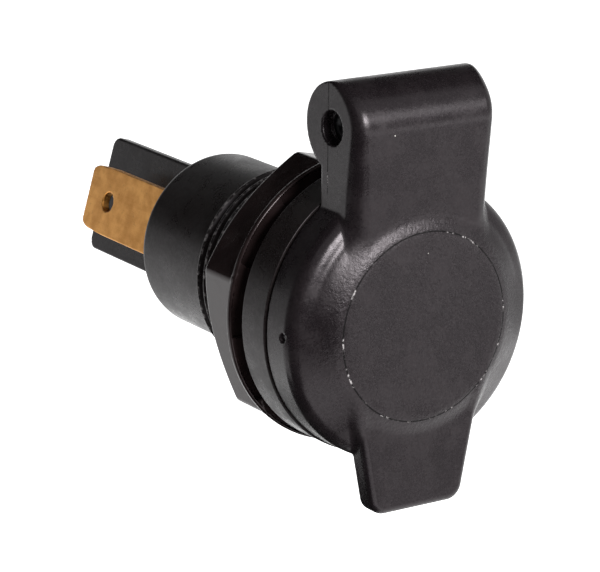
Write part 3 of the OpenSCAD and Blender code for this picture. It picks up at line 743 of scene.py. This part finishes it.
def make_spring():
    """One wire from its foot on the flange over the knee, round the coil and out to its tip."""
    foot_z = math.sqrt(FLANGE_R ** 2 - (COIL_LENGTH / 2) ** 2) + WIRE_R + FOOT_GAP
    foot = np.array([-COIL_LENGTH / 2, FOOT_Y, foot_z])
    knee = on_coil(COIL_FIRST) - TO_KNEE * along_coil(COIL_FIRST)
    coil = [on_coil(a) for a in np.linspace(COIL_FIRST, COIL_LAST, COIL_POINTS)]
    tip = on_coil(COIL_LAST) + TIP_LENGTH * along_coil(COIL_LAST)
    leg = softened([foot, knee, coil[0]], LEG_ROUND)
    return tube("lid_spring_wire", np.array(list(leg[:-1]) + coil + [tip]), WIRE_R)


# Materials. A size is that of a pattern's features, in millimetres; colours are linear.

# Colours painted onto lines: the black is painted shade in seam lines and thread roots, the white a
# painted highlight on flash and thread crests
SHADE_BLACK = (0.004, 0.004, 0.004)
GLINT_WHITE = (0.25, 0.235, 0.235)
DUST = (0.55, 0.53, 0.5)
PALE_DUST = (0.45, 0.43, 0.42)
PLASTIC_IOR = 1.5


class Shader:
    """A material's node tree, with short ways to add nodes."""

    def __init__(self, name):
        self.material = bpy.data.materials.new(name)
        self.material.use_nodes = True
        self.tree = self.material.node_tree
        self.surface = self.tree.nodes["Principled BSDF"]
        coordinates = self.tree.nodes.new("ShaderNodeTexCoord")
        self.place = coordinates.outputs["Object"]
        self.way = coordinates.outputs["Normal"]

    def set(self, **values):
        """Plain values for the surface's inputs, named with underscores."""
        for key, value in values.items():
            self.surface.inputs[key.replace("_", " ")].default_value = value

    def link(self, source, target):
        self.tree.links.new(source, target)

    def drive(self, source, name):
        """Lets a node's output set the surface's input of that name."""
        self.link(source, self.surface.inputs[name])

    def noise(self, size, detail, roughness, seed, stretch=None):
        """Noise with features of the size given; a stretch scales the place along x, y and z."""
        node = self.tree.nodes.new("ShaderNodeTexNoise")
        node.noise_dimensions = "4D"
        for key, value in (("W", seed), ("Scale", 1 / (size * MM)), ("Detail", detail),
                           ("Roughness", roughness)):
            node.inputs[key].default_value = value
        place = self.place
        if stretch is not None:
            scaled = self.tree.nodes.new("ShaderNodeMapping")
            scaled.inputs["Scale"].default_value = stretch
            self.link(place, scaled.inputs["Vector"])
            place = scaled.outputs["Vector"]
        self.link(place, node.inputs["Vector"])
        return node.outputs["Fac"]

    def remap(self, source, low, high, to_low=0.0, to_high=1.0):
        """Smooth step of a value from to_low at low to to_high at high."""
        node = self.tree.nodes.new("ShaderNodeMapRange")
        node.interpolation_type = "SMOOTHSTEP"
        for key, value in (("From Min", low), ("From Max", high), ("To Min", to_low), ("To Max", to_high)):
            node.inputs[key].default_value = value
        self.link(source, node.inputs["Value"])
        return node.outputs["Result"]

    def maths(self, operation, *values):
        """A sum, product or the like, of node outputs or plain numbers."""
        node = self.tree.nodes.new("ShaderNodeMath")
        node.operation = operation
        for socket, value in zip(node.inputs, values):
            if isinstance(value, (int, float)):
                socket.default_value = value
            else:
                self.link(value, socket)
        return node.outputs[0]

    def add(self, a, b):
        return self.maths("ADD", a, b)

    def times(self, a, b):
        return self.maths("MULTIPLY", a, b)

    def mix(self, share, first, second):
        """The first colour where share is 0 and the second where it is 1."""
        node = self.tree.nodes.new("ShaderNodeMix")
        node.data_type = "RGBA"
        self.link(share, node.inputs[0])
        for socket, value in ((node.inputs[6], first), (node.inputs[7], second)):
            if isinstance(value, tuple):
                socket.default_value = (*value, 1)
            else:
                self.link(value, socket)
        return node.outputs[2]

    def bump(self, height, depth):
        """Normal of a relief of the given height; depth is in millimetres."""
        node = self.tree.nodes.new("ShaderNodeBump")
        node.inputs["Distance"].default_value = depth * MM
        self.link(height, node.inputs["Height"])
        return node.outputs["Normal"]

    def axes(self, vector):
        """The x, y and z of a vector."""
        split = self.tree.nodes.new("ShaderNodeSeparateXYZ")
        self.link(vector, split.inputs["Vector"])
        return split.outputs

    def from_barrel(self):
        """Distance from the barrel's axis."""
        x, _, z = self.axes(self.place)
        return self.maths("SQRT", self.add(self.maths("POWER", x, 2.0), self.maths("POWER", z, 2.0)))

    def rise(self, value, start, end, low=0.0, high=1.0):
        """Smooth step of a place from low to high, over a stretch given in millimetres."""
        return self.remap(value, start * MM, end * MM, low, high)

    def line(self, value, centre, half):
        """1 where a coordinate is near the centre given, falling to 0 at half away, in millimetres."""
        away = self.maths("ABSOLUTE", self.maths("SUBTRACT", value, centre * MM))
        return self.rise(away, half * LINE_CORE, half, 1.0, 0.0)

    def specks(self, size, share, radius):
        """Sparse dots of dust: 1 on a dot and 0 between."""
        node = self.tree.nodes.new("ShaderNodeTexVoronoi")
        node.inputs["Scale"].default_value = 1 / (size * MM)
        self.link(self.place, node.inputs["Vector"])
        split = self.tree.nodes.new("ShaderNodeSeparateColor")
        self.link(node.outputs["Color"], split.inputs["Color"])
        dot = self.maths("LESS_THAN", node.outputs["Distance"], radius / size)
        return self.times(dot, self.maths("LESS_THAN", split.outputs["Red"], share))


# Surface marks, with painted shade and painted highlights along seams and the thread, in millimetres; a
# pair is the stretch over which a mark or grain sets in

LINE_HALF, LINE_CORE, LINE_STRENGTH = 0.1, 0.35, 0.8
RING_R, RING_Y = 8.1, (-8.7, -8.8)
SEAM_Y, SEAM_X, SEAM_Z = -4.7, (6.6, 6.75), (11.0, 11.5)
THREAD_FRONT, THREAD_REAR = (0.4, 0.6), (13.0, 12.9)
# Where the painted shade of the roots and the painted highlights of the crests set in, and how strong the
# highlights are
ROOT_R, CREST_R, GLINT_STRENGTH = (8.6, 8.4), (8.8, 8.93), 0.6
FACE_GRAIN_R = (10.5, 8.5)


def lid_seam_shade_and_glints(s):
    """Where the lid's flash ring and mould seams run, which are painted dark as their shade, and where
    their flash is painted white as its highlight.
    """
    x, y, z = s.axes(s.place)
    ring = s.times(s.line(s.from_barrel(), RING_R, LINE_HALF), s.rise(y, *RING_Y))
    ears = s.times(s.rise(s.maths("ABSOLUTE", x), *SEAM_X), s.rise(z, *SEAM_Z))
    seam = s.times(s.line(y, SEAM_Y, LINE_HALF), ears)
    lines = s.maths("MAXIMUM", ring, seam)
    glints = s.remap(s.noise(1.3, 6.0, 0.85, seed=12.0), 0.545, 0.62)
    return s.times(lines, LINE_STRENGTH), s.times(lines, glints)


def thread_shade_and_glints(s):
    """Painted shade in the thread's roots, and painted highlights along its crests in broken beads."""
    _, y, _ = s.axes(s.place)
    threaded = s.times(s.rise(y, *THREAD_REAR), s.rise(y, *THREAD_FRONT))
    root = s.times(threaded, s.rise(s.from_barrel(), *ROOT_R))
    crest = s.times(threaded, s.rise(s.from_barrel(), *CREST_R))
    crest_glints = s.remap(s.noise(0.45, 3.0, 0.6, seed=13.0), 0.46, 0.66)
    return s.times(root, LINE_STRENGTH), s.times(crest, s.times(crest_glints, GLINT_STRENGTH))


def facing_front(s):
    """Share of the lid's grain that a place keeps: most on the face's disc, least on the sides."""
    toward = s.remap(s.times(s.axes(s.way)["Y"], -1.0), 0.25, 0.75, 0.25, 1.0)
    disc = s.rise(s.from_barrel(), *FACE_GRAIN_R, low=0.3, high=1.4)
    return s.times(toward, disc)


def moulded(name, dark, light, rough, grain, grain_depth, shine, front_only=False, painted_light=None):
    """Black moulded plastic: leather grain, cloudy gloss, a little dust, and any painted shade and painted
    highlights given.
    """
    s = Shader(name)
    cloud = s.remap(s.noise(2.6, 4.0, 0.6, seed=1.0), 0.35, 0.68)
    fine = s.noise(grain, 3.0, 0.6, seed=2.0)
    pebble = s.noise(grain * 2.6, 2.0, 0.5, seed=3.0)
    colour = s.mix(s.times(cloud, s.remap(fine, 0.3, 0.75)), dark, light)
    colour = s.mix(s.specks(size=1.7, share=0.14, radius=0.045), colour, DUST)
    level = s.remap(s.noise(grain * 1.8, 3.0, 0.7, seed=14.0), 0.3, 0.7, 0.82 * shine, 1.18 * shine)
    if painted_light is not None:
        # Painted shade along the lines given, and painted highlights where the glints are
        lines, glints = painted_light(s)
        colour = s.mix(lines, colour, SHADE_BLACK)
        colour = s.mix(glints, colour, GLINT_WHITE)
        level = s.times(level, s.remap(lines, 0.0, 1.0, 1.0, 0.1))
    height = s.add(fine, s.times(pebble, 1.4))
    if front_only:
        height = s.times(height, facing_front(s))
    s.drive(colour, "Base Color")
    s.drive(s.add(s.remap(cloud, 0.0, 1.0, rough - 0.05, rough + 0.05),
                  s.remap(fine, 0.3, 0.7, -0.05, 0.05)), "Roughness")
    s.drive(s.bump(height, grain_depth), "Normal")
    s.drive(level, "Specular IOR Level")
    s.set(IOR=PLASTIC_IOR, Specular_Tint=(1.0, 0.92, 0.96, 1.0))
    return s.material


def gloss_plastic(name, dark, light):
    """Black plastic from a polished mould: faint flow clouds and fine handling marks."""
    s = Shader(name)
    cloud = s.remap(s.noise(3.5, 4.0, 0.6, seed=4.0), 0.35, 0.7)
    colour = s.mix(s.specks(size=1.5, share=0.06, radius=0.035), s.mix(cloud, dark, light), PALE_DUST)
    rubbed = s.noise(0.5, 5.0, 0.7, stretch=(0.2, 1.0, 1.0), seed=5.0)
    s.drive(colour, "Base Color")
    s.drive(s.add(s.remap(cloud, 0, 1, 0.13, 0.2), s.remap(rubbed, 0.4, 0.7, 0.0, 0.1)), "Roughness")
    s.drive(s.bump(s.noise(1.6, 3.0, 0.5, seed=6.0), 0.012), "Normal")
    s.set(IOR=PLASTIC_IOR, Specular_IOR_Level=0.19, Specular_Tint=(1.0, 0.88, 0.9, 1.0))
    return s.material


def rolled_brass(name):
    """Strip brass: rolling lines along the blade, dull patches and small stains."""
    s = Shader(name)
    lines = s.noise(0.12, 4.0, 0.65, stretch=(1.0, 0.05, 1.0), seed=7.0)
    cloud = s.remap(s.noise(1.3, 5.0, 0.65, seed=8.0), 0.32, 0.7)
    stain = s.remap(s.noise(0.5, 4.0, 0.7, seed=9.0), 0.56, 0.78)
    colour = s.mix(cloud, (0.53, 0.25, 0.062), (0.65, 0.325, 0.09))
    s.drive(s.mix(s.times(stain, 0.55), colour, (0.2, 0.1, 0.035)), "Base Color")
    s.drive(s.add(s.remap(cloud, 0, 1, 0.46, 0.34), s.remap(lines, 0.3, 0.7, -0.05, 0.08)), "Roughness")
    s.drive(s.bump(lines, 0.004), "Normal")
    s.set(Metallic=1.0)
    return s.material


def drawn_metal(name, dark, light, rough, stretch):
    """Plated or drawn metal with fine lines and a dull bloom."""
    s = Shader(name)
    lines = s.noise(0.1, 4.0, 0.6, stretch=stretch, seed=10.0)
    cloud = s.remap(s.noise(0.9, 4.0, 0.6, seed=11.0), 0.35, 0.7)
    s.drive(s.mix(cloud, dark, light), "Base Color")
    s.drive(s.add(s.remap(cloud, 0, 1, rough + 0.06, rough - 0.04),
                  s.remap(lines, 0.3, 0.7, -0.05, 0.06)), "Roughness")
    s.drive(s.bump(lines, 0.003), "Normal")
    s.set(Metallic=1.0)
    return s.material


# Stretches of the drawn lines, which run along x or y

ALONG_X, ALONG_Y = (0.1, 1.0, 1.0), (1.0, 0.06, 1.0)

lid_finish = moulded("lid_finish", (0.005, 0.0038, 0.0044), (0.01, 0.0078, 0.0086), rough=0.29,
                     grain=0.13, grain_depth=0.02, shine=0.215, front_only=True, painted_light=lid_seam_shade_and_glints)
body_finish = moulded("body_finish", (0.006, 0.0045, 0.0045), (0.01, 0.008, 0.008), rough=0.33,
                      grain=0.2, grain_depth=0.0015, shine=0.19, painted_light=thread_shade_and_glints)
carrier_finish = moulded("carrier_finish", (0.008, 0.007, 0.007), (0.014, 0.012, 0.0125), rough=0.34,
                         grain=0.16, grain_depth=0.004, shine=0.23)
nut_finish = gloss_plastic("nut_finish", (0.007, 0.0045, 0.0045), (0.013, 0.0085, 0.0085))
brass_finish = rolled_brass("brass_finish")
nickel_finish = drawn_metal("nickel_finish", (0.42, 0.4, 0.36), (0.56, 0.54, 0.5), 0.32, ALONG_Y)
steel_finish = drawn_metal("steel_finish", (0.32, 0.32, 0.33), (0.5, 0.5, 0.5), 0.34, ALONG_X)
pin_finish = drawn_metal("pin_finish", (0.012, 0.012, 0.013), (0.03, 0.03, 0.031), 0.45, ALONG_X)


# Pieces. A form is looked for inside a box given by two corners, on a grid of the step given.

dress(form_object("lid_moulding", lid_field, (-12.5, -9.4, -16.4), (12.5, -1.1, 21.1), step=0.172),
      "lid", "lid_plastic", lid_finish, "lid")
dress(form_object("panel_nut", nut_field, (-12.9, 0.9, -12.9), (12.9, 7.4, 12.9), step=0.135),
      "nut", "nut_plastic", nut_finish, "mounting_nut")
dress(make_body(), "socket", "housing_plastic", body_finish, "socket_body")
dress(form_object("insulator", carrier_field, (-7.2, 11.7, -7.2), (7.2, 43.6, 7.2), step=0.17),
      "socket", "carrier_plastic", carrier_finish, "contact_carrier")
dress(form_object("near_terminal", negative_field, (-6.9, 12.2, -4.9), (-1.6, 40.4, 4.9), step=0.13),
      "socket", "terminal_brass", brass_finish, "negative_blade")
dress(form_object("far_terminal", positive_field, (-3.0, 17.7, -4.9), (5.4, 40.4, 4.9), step=0.13),
      "socket", "terminal_brass", brass_finish, "positive_blade")
dress(form_object("pin_contact", contact_field, (-3.0, 12.0, -3.0), (3.0, 19.7, 3.0), step=0.11),
      "socket", "plated_brass", nickel_finish, "centre_contact")
dress(make_sleeve(), "socket", "plated_brass", nickel_finish, "sleeve_contact")
dress(make_pin(), "lid", "pin_steel", pin_finish, "hinge_pin")
dress(make_spring(), "socket", "spring_steel", steel_finish, "lid_spring")


# Floor, background and light, in metres

FLOOR_Z = -0.041
FLAG_Z = -0.0395
WORLD_LEVEL = 0.45
FLOOR_GREY = (0.8, 0.8, 0.8)
FLOOR_SHOWN = (1.7, 1.7, 1.7)
# Level boards just over the floor, or above the object: centre and size
BLACK_FLAGS = (
    ("top_flag", (0, 0.15, 0.16), (0.6, 0.4)),
    ("low_flag", (-0.0825, -0.06, FLAG_Z), (0.095, 0.13)),
    ("rim_flag", (-0.0175, -0.0125, FLAG_Z), (0.035, 0.035)),
    ("under_flag", (-0.01, 0.0225, FLAG_Z), (0.08, 0.035)),
)
GREY_FLAGS = (
    ("front_flag", (0.085, -0.14, FLAG_Z), (0.15, 0.18)),
    ("side_flag", (0.175, 0.005, FLAG_Z), (0.15, 0.1)),
)
# Arcs round the object: radius, then the azimuth in degrees, lowest and highest z of each station
ARC_FLAGS = (
    ("left_flag", 0.12, ((146, -0.04, 0.03), (172, -0.04, 0.1), (215, -0.04, 0.07),
                         (235, -0.04, 0.02), (256, -0.04, -0.004), (284, -0.04, -0.01))),
    ("back_flag", 0.3, ((95, 0.03, 0.3), (174, 0.03, 0.3))),
)
ARC_STEPS = 16


def card(name, centre, size, material):
    """A level board of the studio, spread along x and y from its centre."""
    mesh = bpy.data.meshes.new(name)
    mesh.from_pydata([(centre[0] + size[0] * a / 2, centre[1] + size[1] * b / 2, centre[2])
                      for a, b in ((-1, -1), (1, -1), (1, 1), (-1, 1))], [], [(0, 1, 2, 3)])
    board = bpy.data.objects.new(name, mesh)
    board.data.materials.append(material)
    scene.collection.objects.link(board)
    return board


def arc_card(name, radius, stations, material):
    """An upright board of the studio, bent round the object's axis z."""
    azimuth, low, high = np.array(stations, float).T
    turn = np.linspace(azimuth[0], azimuth[-1], ARC_STEPS + 1)
    x, y = radius * np.cos(np.radians(turn)), radius * np.sin(np.radians(turn))
    rows = [np.stack([x, y, np.interp(turn, azimuth, z)], 1) for z in (low, high)]
    upper = ARC_STEPS + 1
    faces = [(i, i + 1, i + 1 + upper, i + upper) for i in range(ARC_STEPS)]
    board = mesh_object(name, np.concatenate(rows) / MM, faces)
    board.data.materials.append(material)
    return board


def sees_background(tree):
    """1 for the rays that show the background: those of the camera, gloss and glass."""
    path = tree.nodes.new("ShaderNodeLightPath")
    share = path.outputs["Is Camera Ray"]
    for other in ("Is Glossy Ray", "Is Transmission Ray"):
        either = tree.nodes.new("ShaderNodeMath")
        either.operation = "MAXIMUM"
        tree.links.new(share, either.inputs[0])
        tree.links.new(path.outputs[other], either.inputs[1])
        share = either.outputs[0]
    return share


def make_world():
    """White behind the object, and a soft even light on it."""
    world = bpy.data.worlds.new("studio")
    world.use_nodes = True
    scene.world = world
    tree = world.node_tree
    soft = tree.nodes["Background"]
    white = tree.nodes.new("ShaderNodeBackground")
    for node, strength in ((soft, WORLD_LEVEL), (white, 1.0)):
        node.inputs["Color"].default_value = (1, 1, 1, 1)
        node.inputs["Strength"].default_value = strength
    mixer = tree.nodes.new("ShaderNodeMixShader")
    tree.links.new(sees_background(tree), mixer.inputs[0])
    tree.links.new(soft.outputs[0], mixer.inputs[1])
    tree.links.new(white.outputs[0], mixer.inputs[2])
    tree.links.new(mixer.outputs[0], tree.nodes["World Output"].inputs["Surface"])


def make_floor():
    """A pale floor whose colour is lifted to white where the camera or gloss sees it."""
    s = Shader("floor_finish")
    s.set(Roughness=0.9, Specular_IOR_Level=0.0)
    s.drive(s.mix(sees_background(s.tree), FLOOR_GREY, FLOOR_SHOWN), "Base Color")
    card("floor", (0, 0, FLOOR_Z), (3.0, 3.0), s.material)


def make_flags():
    """Black and grey boards that only the gloss sees, so that it has something dark to show."""
    black = Shader("flag_finish")
    black.set(Base_Color=(0.01, 0.01, 0.01, 1), Roughness=0.9)
    grey = Shader("grey_flag_finish")
    grey.set(Base_Color=(0.7, 0.7, 0.7, 1), Roughness=0.9, Specular_IOR_Level=0.0)
    flags = [card(*flag, black.material) for flag in BLACK_FLAGS]
    flags += [card(*flag, grey.material) for flag in GREY_FLAGS]
    flags += [arc_card(*flag, black.material) for flag in ARC_FLAGS]
    for flag in flags:
        flag.visible_camera = flag.visible_shadow = flag.visible_diffuse = False


def area_light(name, place, target, size, watts):
    """A soft box of the studio, turned toward its target."""
    data = bpy.data.lights.new(name, "AREA")
    data.shape = "RECTANGLE"
    data.size, data.size_y = size
    data.energy = watts
    lamp = bpy.data.objects.new(name, data)
    place = Vector(place)
    aim = (Vector(target) - place).to_track_quat("-Z", "Y").to_matrix().to_4x4()
    lamp.matrix_world = Matrix.Translation(place) @ aim
    scene.collection.objects.link(lamp)


make_world()
make_floor()
make_flags()
area_light("key", (0.03, -0.47, 0.2), target=(0, 0, 0), size=(0.3, 0.14), watts=5.5)
area_light("fill", (0.26, -0.41, 0.19), target=(0, 0, 0.015), size=(0.24, 0.14), watts=0.45)

scene.view_settings.view_transform = "Standard"
